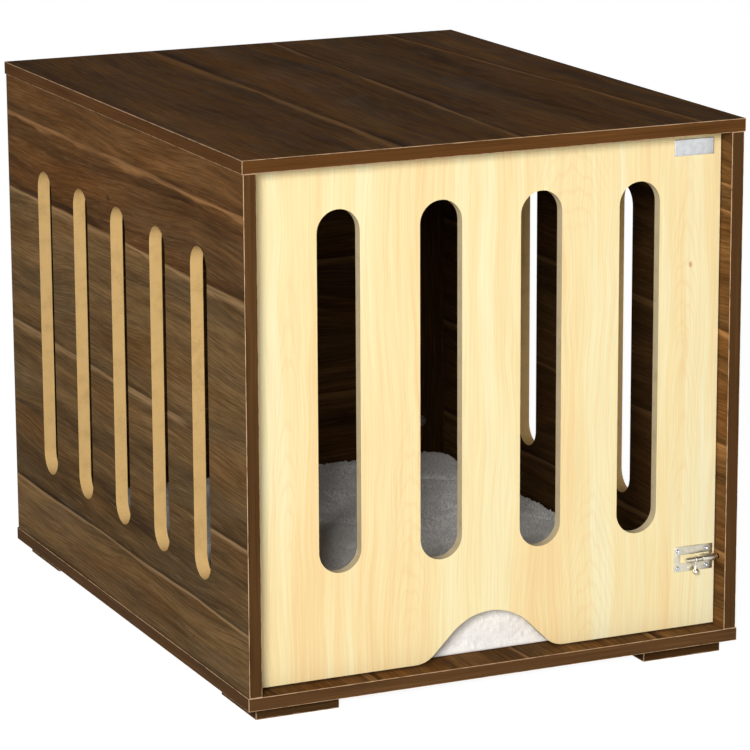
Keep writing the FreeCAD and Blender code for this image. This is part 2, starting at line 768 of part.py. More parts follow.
nodes = {
    "top_panel": slab_core(top_bottom, top_bottom, UP),
    "top_panel_edge_bands": slab_bands(top_bottom),
    "base_panel": slab_core(base_bottom, base_top, DOWN),
    "base_panel_edge_bands": slab_bands(base_bottom),
    "left_side_panel": side_panel(-1),
    "left_side_edge_bands": side_bands(-1),
    "right_side_panel": side_panel(1),
    "right_side_edge_bands": side_bands(1),
    "left_back_upright": upright(-1),
    "right_back_upright": upright(1),
    "back_panel": back_panel(),
    "foot_screws": Part.makeCompound([
        sunk_screw(place, UP, foot_screw_head, foot_screw_shank, foot_screw_length,
                   foot_screw_head - foot_screw_shank) for place in foot_screws]),
    "cam_lock_nuts": Part.makeCompound([lock.nut() for side, lock in side_locks + upright_locks]),
    "cam_bolts": Part.makeCompound([lock.bolt() for side, lock in side_locks + upright_locks]),
    "dowels": Part.makeCompound(
        [dowel(joint, into, dowel_radius) for side, joint, into in side_dowels]
        + [dowel(joint, into, slim_dowel_radius) for side, joint, into in upright_dowels + end_dowels]),
    "door": door(),
    "door_edge_bands": door_bands(),
    "hinge_frame_screws": hinge_screws("frame"),
    "hinge_door_screws": hinge_screws("door"),
    "bolt_plate": bolt_plate(),
    "bolt_screws": bolt_screws(),
    "bolt_rod": bolt_rod(),
    "bolt_knob": bolt_knob(),
    "nameplate": nameplate(),
    "door_stop": door_stop(),
    "door_stop_screw": stop_screw(),
    "cushion": cushion(),
}
nodes["base_panel"] = less(nodes["base_panel"], [foot_screw_hole(place) for place in foot_screws])
nodes["top_panel"] = less(nodes["top_panel"], [stop_screw_hole()])
for name, corner in foot_corners.items():
    nodes[name + "_foot"] = foot(*corner)
for name, middle in hinge_middles.items():
    nodes[name + "_hinge_frame_leaf"] = hinge_leaf(middle, -side_inner, 0, hinge_screw_holes()["frame"])
    nodes[name + "_hinge_door_leaf"] = hinge_leaf(middle, door_left - leaf_thickness, 1,
                                                  hinge_screw_holes()["door"])
    nodes[name + "_hinge_pin"] = hinge_pin(middle)

os.makedirs("parts", exist_ok=True)
for name, shape in nodes.items():
    shape.exportStep("parts/" + name + ".step")
    print(name, len(shape.Solids), "solids", round(shape.Volume / 1000, 2), "cm3", shape.isValid())
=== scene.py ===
import math

import bmesh
import bpy
from mathutils import Matrix, Vector, noise


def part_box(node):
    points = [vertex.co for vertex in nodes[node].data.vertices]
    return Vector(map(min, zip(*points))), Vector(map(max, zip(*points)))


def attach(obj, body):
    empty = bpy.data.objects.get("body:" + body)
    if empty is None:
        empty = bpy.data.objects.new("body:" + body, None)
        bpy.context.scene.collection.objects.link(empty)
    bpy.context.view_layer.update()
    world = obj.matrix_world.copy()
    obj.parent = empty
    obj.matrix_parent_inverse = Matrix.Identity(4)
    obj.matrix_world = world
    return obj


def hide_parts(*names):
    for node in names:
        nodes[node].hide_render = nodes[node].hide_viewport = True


# Finish of the dog crate end table: walnut-look boards, maple-look door, nickel bolt and hinges,
# white plush cushion. Everything is in metres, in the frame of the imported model.

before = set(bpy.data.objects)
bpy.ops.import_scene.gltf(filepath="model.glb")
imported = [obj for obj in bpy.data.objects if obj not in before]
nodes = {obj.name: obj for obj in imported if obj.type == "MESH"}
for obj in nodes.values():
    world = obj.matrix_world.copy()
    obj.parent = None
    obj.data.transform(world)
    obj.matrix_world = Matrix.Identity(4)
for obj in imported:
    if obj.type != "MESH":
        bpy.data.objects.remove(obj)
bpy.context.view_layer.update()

MM = 0.001
QUARTER = math.pi / 2
door_low, door_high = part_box("door_edge_bands")
left_low, left_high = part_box("left_side_panel")
right_low, right_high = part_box("right_side_panel")
cushion_low, cushion_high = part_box("cushion")


# ------------ node wiring

class Wiring:
    """Adds shader nodes to one tree and joins their sockets."""

    def __init__(self, tree):
        self.tree = tree

    def fill(self, node, inputs):
        """Joins some of a node's inputs to other sockets, or gives them values."""
        for name, value in inputs.items():
            socket = node.inputs[name]
            if isinstance(value, bpy.types.NodeSocket):
                self.tree.links.new(value, socket)
            elif socket.type == "RGBA" and len(value) == 3:
                socket.default_value = (*value, 1.0)
            else:
                socket.default_value = value
        return node

    def node(self, kind, inputs, **settings):
        made = self.tree.nodes.new("ShaderNode" + kind)
        for name, value in settings.items():
            setattr(made, name, value)
        return self.fill(made, inputs)

    def math(self, operation, first, second=0.0, third=0.0, clamp=False):
        inputs = {0: first, 1: second, 2: third}
        return self.node("Math", inputs, operation=operation, use_clamp=clamp).outputs[0]

    def minus(self, first, second):
        return self.math("SUBTRACT", first, second)

    def times(self, first, second):
        return self.math("MULTIPLY", first, second)

    def times_plus(self, first, second, third):
        """first x second + third"""
        return self.math("MULTIPLY_ADD", first, second, third)

    def blend(self, share, first, second, method="MIX"):
        made = self.node("Mix", {}, data_type="RGBA", blend_type=method, clamp_factor=True)
        return self.fill(made, {0: share, 6: first, 7: second}).outputs[2]

    def vector_math(self, operation, first, second=(0, 0, 0)):
        return self.node("VectorMath", {0: first, 1: second}, operation=operation).outputs[0]

    def place(self):
        """Object coordinates, in metres."""
        return self.node("TexCoord", {}).outputs["Object"]

    def split(self, vector):
        return self.node("SeparateXYZ", {0: vector}).outputs

    def vector(self, x, y, z=0.0):
        return self.node("CombineXYZ", {0: x, 1: y, 2: z}).outputs[0]

    def mapped(self, vector, scale, place=(0, 0, 0)):
        inputs = {"Vector": vector, "Location": place, "Scale": scale}
        return self.node("Mapping", inputs).outputs[0]

    def noise(self, vector, scale=1.0, detail=3.0, roughness=0.55, distortion=0.0):
        inputs = {"Vector": vector, "Scale": scale, "Detail": detail, "Roughness": roughness,
                  "Distortion": distortion}
        return self.node("TexNoise", inputs).outputs["Fac"]

    def grain(self, vector, along, across, place=(0, 0, 0), **settings):
        """Noise drawn out along the grain: features a metre along X and along Y."""
        return self.noise(self.mapped(vector, (along, across, 1.0), place), **settings)

    def ease(self, value, low, high, to_low=0.0, to_high=1.0):
        """A value taken from one range to another with smooth ends."""
        inputs = {"Value": value, "From Min": low, "From Max": high, "To Min": to_low,
                  "To Max": to_high}
        return self.node("MapRange", inputs, interpolation_type="SMOOTHSTEP").outputs[0]

    def ramp(self, value, stops):
        """A colour ramp with soft steps, from (place, colour) pairs."""
        made = self.node("ValToRGB", {0: value})
        ramp = made.color_ramp
        ramp.interpolation = "EASE"
        while len(ramp.elements) < len(stops):
            ramp.elements.new(0.5)
        for element, (place, colour) in zip(ramp.elements, stops):
            element.position = place
            element.color = (*colour, 1.0)
        return made.outputs[0]

    def emboss(self, shader, height, strength, depth):
        """Gives a shader a bump of some depth in metres."""
        bump = self.node("Bump", {"Strength": strength, "Distance": depth, "Height": height})
        self.fill(shader, {"Normal": bump.outputs[0]})

    def group(self, tree, inputs):
        """Places a node group and gives its outputs."""
        return self.fill(self.node("Group", {}, node_tree=tree), inputs).outputs


def new_group(name, inputs, outputs):
    """An empty shader node group with its sockets, as (tree, wiring, input sockets, output node)."""
    tree = bpy.data.node_groups.new(name, "ShaderNodeTree")
    kinds = {"value": "NodeSocketFloat", "vector": "NodeSocketVector", "colour": "NodeSocketColor"}
    for way, sockets in (("INPUT", inputs), ("OUTPUT", outputs)):
        for label, kind in sockets.items():
            tree.interface.new_socket(label, in_out=way, socket_type=kinds[kind])
    given = tree.nodes.new("NodeGroupInput").outputs
    return tree, Wiring(tree), given, tree.nodes.new("NodeGroupOutput")


def new_material(name):
    """A material with one Principled shader, as (material, wiring, shader)."""
    material = bpy.data.materials.new(name)
    material.use_nodes = True
    wiring = Wiring(material.node_tree)
    return material, wiring, material.node_tree.nodes["Principled BSDF"]


def cleared(owner):
    """Empties a material's or world's nodes and gives their wiring."""
    owner.use_nodes = True
    owner.node_tree.nodes.clear()
    return Wiring(owner.node_tree)


def wear(piece, material):
    """Gives a piece one material."""
    piece.data.materials.clear()
    piece.data.materials.append(material)


# ------------ mesh helpers

def new_mesh(name, shape):
    """Turns a bmesh into a mesh and frees it."""
    mesh = bpy.data.meshes.new(name)
    shape.to_mesh(mesh)
    shape.free()
    return mesh


def in_scene(name, data):
    """A new object in the scene."""
    made = bpy.data.objects.new(name, data)
    bpy.context.scene.collection.objects.link(made)
    return made


def new_piece(name, shape):
    """Turns a bmesh into an object in the scene and frees it."""
    return in_scene(name, new_mesh(name, shape))


def take_in(shape, mesh):
    """Adds a mesh to a bmesh and removes the mesh."""
    shape.from_mesh(mesh)
    bpy.data.meshes.remove(mesh)


def box_form(low, high):
    """A box between two corners, as a bmesh."""
    shape = bmesh.new()
    bmesh.ops.create_cube(shape, size=1.0)
    bmesh.ops.scale(shape, vec=high - low, verts=shape.verts)
    bmesh.ops.translate(shape, vec=(low + high) / 2, verts=shape.verts)
    return shape


def grid_form(columns, rows):
    """A flat grid in X and Y with its lines at given places, as a bmesh."""
    last_column, last_row = len(columns) - 1, len(rows) - 1
    shape = bmesh.new()
    bmesh.ops.create_grid(shape, x_segments=last_column, y_segments=last_row, size=1.0)
    for point in shape.verts:
        column = round((point.co.x + 1) / 2 * last_column)
        row = round((point.co.y + 1) / 2 * last_row)
        point.co = Vector((columns[column], rows[row], 0.0))
    return shape


def round_edges(shape, edges, width, segments=3):
    """Rounds some edges of a bmesh."""
    bmesh.ops.bevel(shape, geom=edges, offset=width, offset_type="OFFSET", segments=segments,
                    profile=0.5, affect="EDGES", material=-1)


def points_in(geometry):
    return [item for item in geometry if isinstance(item, bmesh.types.BMVert)]


def edges_in(geometry):
    return [item for item in geometry if isinstance(item, bmesh.types.BMEdge)]


def settled(piece):
    """Gives a piece the mesh that its modifiers make, and takes the modifiers off."""
    graph = bpy.context.evaluated_depsgraph_get()
    mesh = bpy.data.meshes.new_from_object(piece.evaluated_get(graph))
    piece.modifiers.clear()
    old, piece.data = piece.data, mesh
    mesh.name = old.name
    bpy.data.meshes.remove(old)


# ------------ shared effects

def make_walnut_group():
    """Printed walnut figure. The vector runs along the grain in X and across it in Y, in metres."""
    tree, w, given, out = new_group(
        "walnut_figure", {"Vector": "vector", "Plank": "value"},
        {"Color": "colour", "Height": "value", "Roughness": "value"})
    along, across, depth = w.split(given["Vector"])
    shift = w.times(given["Plank"], 7.31)
    moved = w.math("ADD", along, shift)
    there = w.vector(moved, across, w.math("ADD", depth, shift))
    sway = w.grain(there, 1.6, 5.0, detail=2.0)
    swayed = w.times_plus(w.minus(sway, 0.5), 0.075, across)
    bent = w.vector(moved, swayed, shift)
    broad = w.grain(bent, 1.1, 11.0, detail=2.0, roughness=0.5)
    streak = w.grain(bent, 2.6, 62.0, roughness=0.6, distortion=0.35)
    cloud = w.grain(bent, 4.5, 30.0, roughness=0.65)
    fibre = w.grain(bent, 14.0, 520.0, detail=2.0, roughness=0.6)
    pores = w.grain(bent, 42.0, 1300.0, detail=1.0)
    tone = w.times_plus(broad, 0.38, w.times(streak, 0.39))
    tone = w.times_plus(cloud, 0.23, tone)
    colour = w.ramp(tone, [(0.36, (0.056, 0.026, 0.009)), (0.44, (0.108, 0.054, 0.019)),
                           (0.50, (0.156, 0.080, 0.029)), (0.56, (0.208, 0.108, 0.040)),
                           (0.64, (0.290, 0.152, 0.058))])
    warmth = w.grain(bent, 2.2, 16.0, (3.1, 0.7, 0.0), detail=2.0)
    colour = w.blend(w.ease(warmth, 0.50, 0.66, 0.0, 0.50), colour, (0.188, 0.080, 0.022))
    colour = w.blend(w.ease(warmth, 0.46, 0.34, 0.0, 0.45), colour, (0.118, 0.072, 0.034))
    colour = w.blend(w.ease(fibre, 0.38, 0.62, 0.66, 0.0), colour, (0.50, 0.46, 0.42), "MULTIPLY")
    glints = w.grain(bent, 19.0, 340.0, (9.0, 2.0, 0.0), detail=2.0)
    colour = w.blend(w.ease(glints, 0.58, 0.74, 0.0, 0.32), colour, (0.300, 0.175, 0.085))
    pits = w.ease(pores, 0.60, 0.74)
    colour = w.blend(w.times(pits, 0.55), colour, (0.030, 0.017, 0.009))
    height = w.times_plus(fibre, 0.35, w.times(pits, -0.6))
    w.fill(out, {"Color": colour, "Height": height, "Roughness": w.ease(streak, 0.3, 0.7, 0.46, 0.60)})
    return tree


def make_joint_group():
    """Printed joint between two planks: sapwood strands below it, heartwood's dark shade above it."""
    tree, w, given, out = new_group(
        "plank_joint", {"Along": "value", "Across": "value", "Place": "value", "Slant": "value",
                        "Start": "value", "End": "value", "Streak": "value"},
        {"Line": "value", "Sapwood": "value", "Shade": "value"})
    seed = w.times(given["Place"], 91.0)
    run = w.vector(given["Along"], seed)
    wander = w.minus(w.grain(run, 3.0, 1.0), 0.5)
    away = w.minus(given["Across"], given["Place"])
    away = w.minus(away, w.times(given["Along"], given["Slant"]))
    away = w.times_plus(wander, -0.013, away)
    start = w.minus(given["Along"], given["Start"])
    end = w.minus(given["End"], given["Along"])
    inside = w.times(w.ease(start, 0.0, 0.05), w.ease(end, 0.0, 0.05))
    thin = w.grain(run, 9.0, 1.0, (5.0, 0.0, 0.0))
    line = w.ease(w.math("ABSOLUTE", away), 0.0019, 0.0003)
    line = w.times(line, w.ease(thin, 0.36, 0.60, 0.10, 1.0))
    swell = w.grain(run, 4.2, 1.0, (1.7, 0.0, 0.0))
    width = w.times(given["Streak"], 0.019)
    width = w.times_plus(w.ease(swell, 0.34, 0.60, 0.15, 1.0), width, 0.0008)
    share = w.math("DIVIDE", away, width)
    band = w.times(w.ease(share, 0.12, -0.12), w.ease(share, -1.0, -0.30))
    fine = w.vector(w.times(given["Along"], 8.0), w.times(away, 420.0), seed)
    strands = w.noise(fine, detail=2.0)
    band = w.times(band, w.ease(strands, 0.34, 0.60, 0.35, 1.0))
    dark = w.math("DIVIDE", away, w.times_plus(given["Streak"], 0.016, 0.004))
    dark = w.times(w.ease(dark, -0.05, 0.16), w.ease(dark, 1.0, 0.25))
    dark = w.times(dark, w.ease(swell, 0.32, 0.62, 0.20, 1.0))
    w.fill(out, {"Line": w.times(line, inside), "Sapwood": w.times(band, inside),
                 "Shade": w.times(dark, inside)})
    return tree


def make_corner_group():
    """How near a point is to a box's corner edges: 1 on an edge, 0 from Width inwards."""
    tree, w, given, out = new_group(
        "corner_line", {"Vector": "vector", "Middle": "vector", "Half": "vector", "Width": "value"},
        {"Mask": "value"})
    away = w.vector_math("ABSOLUTE", w.vector_math("SUBTRACT", given["Vector"], given["Middle"]))
    x, y, z = w.split(w.vector_math("SUBTRACT", given["Half"], away))
    # the middle one of the three gaps is the distance to the nearest edge on a box's face
    low, high = w.math("MINIMUM", x, y), w.math("MAXIMUM", x, y)
    middle = w.math("MAXIMUM", low, w.math("MINIMUM", high, z))
    chips = w.noise(given["Vector"], scale=55.0, detail=4.0, roughness=0.7)
    reach = w.times(given["Width"], w.ease(chips, 0.30, 0.62, 0.45, 1.25))
    share = w.math("DIVIDE", middle, reach)
    w.fill(out, {"Mask": w.ease(share, 1.0, 0.55)})
    return tree


def make_maple_group():
    """Pale maple figure. The vector runs along the grain in X and across it in Y, in metres."""
    tree, w, given, out = new_group(
        "maple_figure", {"Vector": "vector"},
        {"Color": "colour", "Height": "value", "Roughness": "value"})
    along, across, depth = w.split(given["Vector"])
    sway = w.minus(w.grain(given["Vector"], 2.2, 6.0), 0.5)
    bent = w.times_plus(sway, 0.06, across)
    there = w.vector(along, bent, depth)
    broad = w.grain(there, 0.9, 13.0, detail=2.0, roughness=0.5)
    streak = w.grain(there, 2.4, 75.0, roughness=0.6)
    fibre = w.grain(there, 11.0, 620.0, detail=2.0)
    colour = w.ramp(w.times_plus(broad, 0.6, w.times(streak, 0.4)),
                    [(0.38, (0.930, 0.700, 0.355)), (0.47, (0.945, 0.775, 0.420)),
                     (0.54, (0.950, 0.835, 0.495)), (0.62, (0.955, 0.875, 0.575))])
    colour = w.blend(w.ease(fibre, 0.36, 0.64, 0.16, 0.0), colour, (0.72, 0.55, 0.40), "MULTIPLY")
    w.fill(out, {"Color": colour, "Height": fibre, "Roughness": w.ease(streak, 0.3, 0.7, 0.38, 0.50)})
    return tree


def make_heart_group():
    """Growth rings round a heart: arches that close above its place and run straight below it."""
    tree, w, given, out = new_group(
        "heart_rings", {"Vector": "vector", "Place": "vector", "Reach": "vector", "Rings": "value"},
        {"Mask": "value"})
    away = w.vector_math("SUBTRACT", given["Vector"], given["Place"])
    along, across = w.split(w.vector_math("DIVIDE", away, given["Reach"]))[:2]
    rough = w.grain(given["Vector"], 5.0, 22.0)
    rough = w.minus(rough, 0.5)
    hill = w.times_plus(w.times(across, across), 1.6, along)
    hill = w.times_plus(rough, 1.1, hill)
    turns = w.times(hill, given["Rings"])
    wave = w.math("SINE", w.times(turns, 2 * math.pi))
    line = w.ease(wave, 0.35, 1.0)
    fade = w.math("ADD", w.times(along, along), w.times(across, across))
    w.fill(out, {"Mask": w.times(line, w.ease(fade, 1.0, 0.15))})
    return tree


def make_fibreboard_group():
    """Sawn fibreboard in a given colour, with fine specks and faint patches."""
    tree, w, given, out = new_group("fibreboard", {"Vector": "vector", "Tint": "colour"},
                                    {"Color": "colour", "Height": "value"})
    speck = w.noise(given["Vector"], scale=1400.0, detail=2.0)
    patch = w.noise(given["Vector"], scale=60.0)
    shade = w.ramp(w.times_plus(speck, 0.5, w.times(patch, 0.5)),
                   [(0.36, (0.80, 0.78, 0.74)), (0.50, (0.97, 0.97, 0.97)), (0.64, (1.0, 1.0, 1.0))])
    w.fill(out, {"Color": w.blend(1.0, given["Tint"], shade, "MULTIPLY"), "Height": speck})
    return tree


def make_smudge_group():
    """Faint handling marks that change how a surface shines."""
    tree, w, given, out = new_group("handling_marks", {"Vector": "vector", "Amount": "value"},
                                    {"Roughness": "value"})
    cloud = w.noise(given["Vector"], scale=9.0, detail=4.0, roughness=0.65, distortion=0.8)
    w.fill(out, {"Roughness": w.times(w.ease(cloud, 0.45, 0.70), given["Amount"])})
    return tree


walnut_group = make_walnut_group()
joint_group = make_joint_group()
corner_group = make_corner_group()
maple_group = make_maple_group()
heart_group = make_heart_group()
fibreboard_group = make_fibreboard_group()
smudge_group = make_smudge_group()


# ------------ wood

sapwood = (0.385, 0.208, 0.088)
joint_line = (0.400, 0.235, 0.115)
side_fibreboard = (0.720, 0.475, 0.195)
door_fibreboard = (0.690, 0.560, 0.340)
# pale corner colour: trimmed foil, and partly a painted highlight on eased corners
trim_and_highlight_colour = (0.600, 0.400, 0.235)
walnut_knot = (0.050, 0.030, 0.018)
maple_knot = (0.600, 0.330, 0.160)
ring_brown = (0.860, 0.520, 0.250)
side_warmth = (1.0, 0.82, 0.69)     # takes green and blue out of a plank
# painted shade: a side panel's inner face behind the door is drawn darker towards this
inner_painted_shade = (0.020, 0.012, 0.006)
# painted shade: the sawn walls of the bolt's hole are drawn almost black
hole_painted_shade = (0.018, 0.010, 0.005)
first_slot = -300.0 * MM        # in front of this, a side panel has no slots
walnut_gloss = 0.004
maple_gloss = 0.12


def grain_vector(w, along, across):
    """Object coordinates turned so that X runs along the grain and Y across it."""
    place = w.place()
    axes = dict(zip("xyz", w.split(place)))
    rest = next(axis for axis in "xyz" if axis not in (along, across))
    return place, w.vector(axes[along], axes[across], axes[rest]), axes


def cut_face(w, value, low, high):
    """1 where a place lies inside the board's thickness, so on a sawn face, and 0 on its two faces."""
    skin = 0.04 * MM
    above = w.math("GREATER_THAN", value, low + skin)
    return w.times(above, w.math("LESS_THAN", value, high - skin))


def knot(w, vector, colour, spot, size, tint):
    """A small knot: spot is its place along and across the grain, size its half length and half width."""
    along, across = w.split(w.vector_math("SUBTRACT", vector, (*spot, 0.0)))[:2]
    along = w.math("DIVIDE", along, size[0])
    across = w.math("DIVIDE", across, size[1])
    far = w.math("ADD", w.times(along, along), w.times(across, across))
    ragged = w.math("ADD", far, w.noise(vector, scale=320.0, detail=2.0, roughness=0.6))
    return w.blend(w.ease(ragged, 1.6, 0.5, 0.0, 0.85), colour, tint)


def add_joint(w, colour, along, across, spot, streak, slant=0.0, start=-1.0, end=1.0):
    """Prints a joint between two planks. It crosses the whole board unless its start or end is given."""
    joint = w.group(joint_group, {"Along": along, "Across": across, "Place": spot, "Slant": slant,
                                  "Start": start, "End": end, "Streak": streak})
    colour = w.blend(w.times(joint["Shade"], 0.75), colour, (0.40, 0.37, 0.35), "MULTIPLY")
    colour = w.blend(w.times(joint["Sapwood"], 0.66), colour, sapwood)
    return w.blend(w.times(joint["Line"], 0.35), colour, joint_line)


def add_sawn_faces(w, place, axes, thin, colour, height):
    """A side panel's inner face with painted shade behind the door, its bare slots, and the bolt's hole in
    front of the door, whose sawn walls are painted dark as shade.
    """
    axis, low, high = thin
    sawn = cut_face(w, axes[axis], low, high)
    board = w.group(fibreboard_group, {"Vector": place, "Tint": side_fibreboard})
    # painted shade: the inner face behind the door is darkened, as it lies in shade inside the crate
    behind_door = w.ease(axes["y"], door_high.y + 4 * MM, door_high.y + 24 * MM)
    inner = w.math("LESS_THAN", w.math("ABSOLUTE", axes[axis]), abs(low + high) / 2)
    shade = w.times(w.times(inner, behind_door), 0.6)
    colour = w.blend(shade, colour, inner_painted_shade)
    bare = w.times(sawn, w.math("GREATER_THAN", axes["y"], first_slot))
    # painted shade: sawn faces in front of the slots, the walls of the bolt's hole, are drawn almost black
    colour = w.blend(sawn, colour, hole_painted_shade)
    colour = w.blend(bare, colour, board["Color"])
    return colour, w.times_plus(w.times(board["Height"], bare), 2.0, height)


def walnut_board(name, along, across, joints, thin=None, seed=0.0, tone=(1.0, 1.0, 1.0), knots=(),
                 warm_from=None):
    """Walnut-look foil, with joints between its planks: (place, streak, slant, start, end) of each.

    thin: (axis, low, high) of a board with sawn slots. Planks that lie further across than warm_from
    are a warmer brown than the others."""
    material, w, shader = new_material(name)
    place, vector, axes = grain_vector(w, along, across)
    plank = seed                    # a value that jumps at each joint, from the lowest plank up
    for index, joint in enumerate(joints):
        over = w.math("GREATER_THAN", axes[across], joint[0])
        plank = w.times_plus(over, 1.37 + 0.21 * index, plank)
    figure = w.group(walnut_group, {"Vector": vector, "Plank": plank})
    change = w.math("FRACT", w.times(plank, 3.77))
    colour = w.blend(w.times(change, 0.30), figure["Color"], (0.64, 0.62, 0.60), "MULTIPLY")
    for joint in joints:
        colour = add_joint(w, colour, axes[along], axes[across], *joint)
    for spot in knots:
        colour = knot(w, vector, colour, spot, (7 * MM, 4.5 * MM), walnut_knot)
    height = figure["Height"]
    colour = w.vector_math("MULTIPLY", colour, tone)
    if warm_from:
        warm = w.math("GREATER_THAN", axes[across], warm_from)
        colour = w.blend(warm, colour, side_warmth, "MULTIPLY")
    if thin:
        colour, height = add_sawn_faces(w, place, axes, thin, colour, height)
    finish(w, shader, place, colour, height, figure["Roughness"])
    return material


def finish(w, shader, place, colour, height, roughness, depth=0.05 * MM, gloss=walnut_gloss):
    """Joins a wood-look figure to the shader, with handling marks and a shallow embossed grain."""
    marks = w.group(smudge_group, {"Vector": place, "Amount": -0.07})
    roughness = w.math("ADD", roughness, marks["Roughness"], clamp=True)
    w.fill(shader, {"Base Color": colour, "Roughness": roughness, "Specular IOR Level": gloss})
    w.emboss(shader, height, 0.25, depth)


def walnut_band(part, upright, tint):
    """Walnut-look edge band: fine straight grain, with a pale line along its corners: the trimmed foil, and
    a painted highlight where the eased corners catch light.
    """
    material, w, shader = new_material("walnut_" + part)
    place = w.place()
    x, y, z = w.split(place)
    vector = w.vector(z, x) if upright else w.vector(w.math("ADD", x, y), z)
    fine = w.grain(vector, 9.0, 900.0, roughness=0.6)
    wide = w.grain(vector, 3.0, 190.0, detail=2.0)
    patch = w.grain(vector, 5.0, 20.0, detail=2.0)
    mixed = w.times_plus(fine, 0.42, w.times(wide, 0.34))
    mixed = w.times_plus(patch, 0.24, mixed)
    colour = w.ramp(mixed, [(0.34, tuple(0.52 * value for value in tint)), (0.50, tint),
                            (0.66, tuple(1.55 * value for value in tint))])
    colour = trim_and_highlight_line(w, place, colour, part, 0.75 * MM, 0.9)
    finish(w, shader, place, colour, fine, 0.46, 0.04 * MM)
    return material


def trim_and_highlight_line(w, place, colour, part, width, strength):
    """Pale line along the corners of a part's box: the trimmed foil, and a painted highlight on the eased
    corners.
    """
    low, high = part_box(part)
    corner = w.group(corner_group, {"Vector": place, "Middle": tuple((low + high) / 2),
                                    "Half": tuple((high - low) / 2), "Width": width})
    return w.blend(w.times(corner["Mask"], strength), colour, trim_and_highlight_colour)


def dress_carcass():
    """Foil, sawn faces and edge bands of the carcass."""
    top_joints = ((-0.115, 0.95, 0.010), (0.038, 0.55, 0.036), (0.231, 0.45, -0.053))
    wear(nodes["top_panel"], walnut_board("walnut_top", "y", "x", top_joints, seed=0.3,
                                          tone=(0.86, 0.78, 0.66)))
    base_joints = ((-0.150, 0.5), (0.022, 0.35, -0.04), (0.200, 0.5))
    wear(nodes["base_panel"], walnut_board("walnut_base", "y", "x", base_joints, seed=2.9,
                                           tone=(1.05, 1.0, 0.9)))
    left_joints = ((0.101, 0.22, 0.0, -1.0, 0.41), (0.197, 0.35, 0.0, -1.0, -0.20),
                   (0.302, 0.55, 0.0, -0.22), (0.471, 0.70), (0.565, 0.95, 0.004))
    wear(nodes["left_side_panel"], walnut_board(
        "walnut_left_side", "y", "z", left_joints, ("x", left_low.x, left_high.x), seed=5.1,
        tone=(1.20, 1.36, 1.52), knots=((0.029, 0.5145),), warm_from=left_joints[3][0]))
    right_joints = ((0.120, 0.5), (0.245, 0.5), (0.380, 0.6), (0.521, 0.5), (0.549, 0.3))
    wear(nodes["right_side_panel"], walnut_board(
        "walnut_right_side", "y", "z", right_joints, ("x", right_low.x, right_high.x), seed=8.4,
        tone=(1.30, 1.22, 1.05)))
    # painted shade: the uprights and back panel inside the crate are drawn darker, as they lie in shade
    inside_painted_shade = (0.55, 0.52, 0.48)
    for name, seed in (("left_back_upright", 1.7), ("right_back_upright", 3.9)):
        wear(nodes[name], walnut_board(name + "_foil", "z", "x", (), seed=seed, tone=inside_painted_shade))
    back_joints = ((0.160, 0.4), (0.340, 0.5), (0.500, 0.4))
    wear(nodes["back_panel"], walnut_board("walnut_back", "x", "z", back_joints, seed=6.6, tone=inside_painted_shade))
    wear(nodes["door_stop"], walnut_board("walnut_stop", "x", "z", (), seed=4.4))
    side_tint = (0.088, 0.041, 0.014)
    bands = (("top_panel_edge_bands", False, (0.112, 0.046, 0.013)),
             ("base_panel_edge_bands", False, (0.104, 0.050, 0.019)),
             ("left_side_edge_bands", True, side_tint),
             ("right_side_edge_bands", True, side_tint))
    for name, upright, tint in bands:
        wear(nodes[name], walnut_band(name, upright, tint))
    for index, name in enumerate(("front_left", "front_right", "back_left", "back_right")):
        wear(nodes[name + "_foot"], walnut_foot(name + "_foot", 1.3 + index))


def walnut_foot(name, seed):
    """A foot: darker than the boards, with its grain round its sides."""
    material, w, shader = new_material("walnut_" + name)
    place = w.place()
    x, y, z = w.split(place)
    round_sides = w.vector(w.math("ADD", x, y), z)
    figure = w.group(walnut_group, {"Vector": round_sides, "Plank": seed})
    colour = w.blend(0.72, figure["Color"], (0.036, 0.016, 0.005))
    # pale corner lines: trimmed foil and painted highlight
    colour = trim_and_highlight_line(w, place, colour, name, 1.3 * MM, 0.55)
    finish(w, shader, place, colour, figure["Height"], figure["Roughness"])
    return material


def maple_door():
    """Maple-look board with growth rings, a small knot and bare slots and arch."""
    material, w, shader = new_material("maple_door")
    place, vector, axes = grain_vector(w, "z", "x")
    figure = w.group(maple_group, {"Vector": vector})
    colour = figure["Color"]
    # hearts: (height, place across, length, half width, rings)
    hearts = ((0.47, 0.243, 0.16, 0.034, 5.0), (0.20, -0.100, 0.17, 0.040, 6.0),
              (0.33, -0.245, 0.20, 0.030, 5.0), (0.28, 0.243, 0.15, 0.030, 4.0),
              (0.12, 0.125, 0.13, 0.050, 5.0), (0.58, 0.100, 0.09, 0.060, 4.0))
    for height, across, length, half, rings in hearts:
        heart = w.group(heart_group, {"Vector": vector, "Place": (height, across, 0.0),
                                      "Reach": (length, half, 1.0), "Rings": rings})
        colour = w.blend(w.times(heart["Mask"], 0.17), colour, ring_brown)
    colour = knot(w, vector, colour, (0.4585, 0.250), (4.5 * MM, 2.6 * MM), maple_knot)
    sawn = cut_face(w, axes["y"], door_low.y, door_high.y)
    board = w.group(fibreboard_group, {"Vector": place, "Tint": door_fibreboard})
    colour = w.blend(sawn, colour, board["Color"])
    height = w.times_plus(w.times(board["Height"], sawn), 2.0, figure["Height"])
    finish(w, shader, place, colour, height, figure["Roughness"], 0.03 * MM, maple_gloss)
    return material


def maple_band():
    """The door's edge bands: the same figure, with its grain along each edge."""
    material, w, shader = new_material("maple_edge_band")
    place = w.place()
    x, y, z = w.split(place)
    vector = w.vector(w.math("ADD", z, x), y)
    figure = w.group(maple_group, {"Vector": w.mapped(vector, (1.0, 3.0, 1.0))})
    finish(w, shader, place, figure["Color"], figure["Height"], figure["Roughness"], 0.02 * MM, maple_gloss)
    return material


# ------------ metal and small parts

